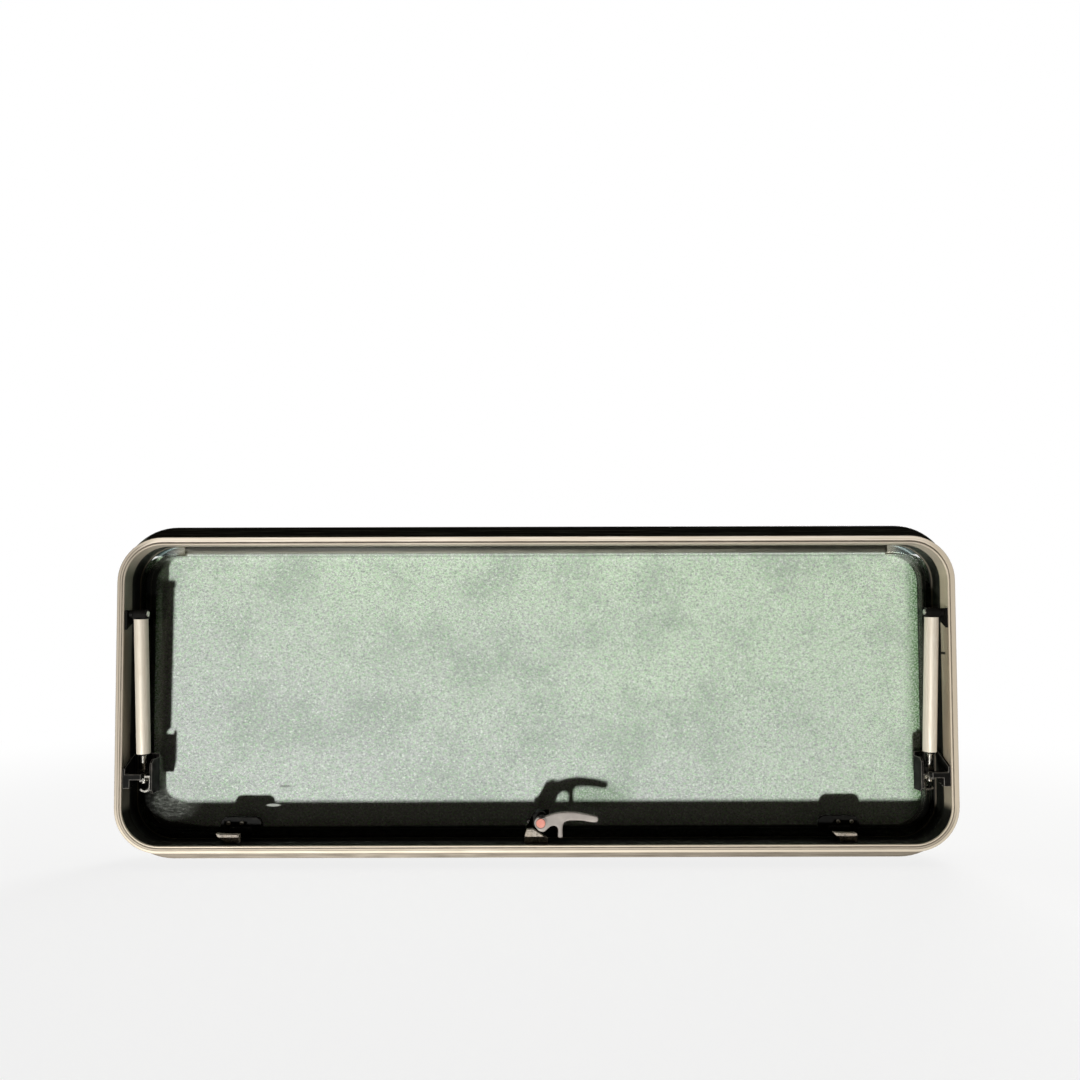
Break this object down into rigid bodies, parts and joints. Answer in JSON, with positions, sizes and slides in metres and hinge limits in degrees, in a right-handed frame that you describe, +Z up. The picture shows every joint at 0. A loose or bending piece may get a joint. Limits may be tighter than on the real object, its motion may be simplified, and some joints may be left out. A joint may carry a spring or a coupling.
{
  "type": "caravan window",
  "caption": "Top-hung caravan window: aluminium frame that clamps the wall, double acrylic pane with a raised tray, telescopic side stays and a push-button centre catch.",
  "frame": {"origin": "on the back of the outer flange, at the middle of its bottom member, where it bears on the wall's outer skin", "axes": "+X right as seen from inside, +Y outwards through the wall, +Z up"},
  "size_m": [0.931, 0.0578, 0.3681],
  "materials": {
    "bare_aluminium": "satin, drawn lengthwise",
    "black_rail": "gloss black",
    "seal_rubber": "matte",
    "tinted_acrylic": "gloss, grey tint",
    "foam_film": "foamed protective film",
    "keeper_plastic": "mottled grey",
    "lever_plastic": "satin grey",
    "button_plastic": "satin salmon pink",
    "black_plastic": "moulded black",
    "bright_steel": "zinc plated",
    "stay_aluminium": "bright anodised"
  },
  "bodies": {
    "root": {"outer_frame": "bare_aluminium", "hinge_rail": "black_rail", "main_seal": "seal_rubber", "clamp_ring": "bare_aluminium", "ring_trim": "seal_rubber", "left_stay_bracket": "black_plastic", "right_stay_bracket": "black_plastic", "left_pivot_pin": "bright_steel", "right_pivot_pin": "bright_steel", "left_stay_rest": "black_plastic", "right_stay_rest": "black_plastic", "centre_keeper": "keeper_plastic", "left_keeper": "keeper_plastic", "right_keeper": "keeper_plastic"},
    "pane": {"outer_sheet": "tinted_acrylic", "inner_sheet": "tinted_acrylic", "protective_film": "foam_film", "pane_hinge": "bare_aluminium", "left_pane_bracket": "black_plastic", "right_pane_bracket": "black_plastic", "left_pane_screws": "bright_steel", "right_pane_screws": "bright_steel", "catch_base": "black_plastic", "catch_screws": "bright_steel", "left_catch": "black_plastic", "right_catch": "black_plastic", "left_catch_screws": "bright_steel", "right_catch_screws": "bright_steel"},
    "lever": {"catch_lever": "lever_plastic", "hub_ring": "lever_plastic", "lever_stop": "black_plastic"},
    "button": {"catch_button": "button_plastic"},
    "left_stay": {"left_stay_tube": "stay_aluminium", "left_stay_eye": "black_plastic", "left_stay_bush": "black_plastic"},
    "left_rod": {"left_stay_rod": "bright_steel", "left_rod_strap": "bright_steel", "left_rod_nuts": "bright_steel"},
    "right_stay": {"right_stay_tube": "stay_aluminium", "right_stay_eye": "black_plastic", "right_stay_bush": "black_plastic"},
    "right_rod": {"right_stay_rod": "bright_steel", "right_rod_strap": "bright_steel", "right_rod_nuts": "bright_steel"}
  },
  "joints": [
    {"name": "pane_hinge_turn", "type": "hinge", "parent": "root", "child": "pane", "pos_m": [0, 0.012, 0.352], "axis": [1, 0, 0], "range_deg": [0, 45]},
    {"name": "lever_turn", "type": "hinge", "parent": "pane", "child": "lever", "pos_m": [0.0043, -0.0265, 0.03385], "axis": [0, -1, 0], "range_deg": [0, 90]},
    {"name": "button_press", "type": "slide", "parent": "lever", "child": "button", "axis": [0, 1, 0], "range_m": [0, 0.002], "stiffness_N_per_m": 200},
    {"name": "left_stay_swing", "type": "hinge", "parent": "root", "child": "left_stay", "pos_m": [-0.428, -0.03, 0.25975], "axis": [1, 0, 0], "range_deg": [0, 57]},
    {"name": "left_rod_slide", "type": "slide", "parent": "left_stay", "child": "left_rod", "axis": [0, 0.068, -0.9977], "range_m": [0, 0.0655]},
    {"name": "right_stay_swing", "type": "hinge", "parent": "root", "child": "right_stay", "pos_m": [0.428, -0.03, 0.25975], "axis": [1, 0, 0], "range_deg": [0, 57]},
    {"name": "right_rod_slide", "type": "slide", "parent": "right_stay", "child": "right_rod", "axis": [0, 0.068, -0.9977], "range_m": [0, 0.0655]}
  ],
  "couplings": [
    {"joint": "left_stay_swing", "follows": "pane_hinge_turn", "ratio": 1.252},
    {"joint": "left_rod_slide", "follows": "pane_hinge_turn", "m_per_rad": 0.0828},
    {"joint": "right_stay_swing", "follows": "pane_hinge_turn", "ratio": 1.252},
    {"joint": "right_rod_slide", "follows": "pane_hinge_turn", "m_per_rad": 0.0828}
  ]
}
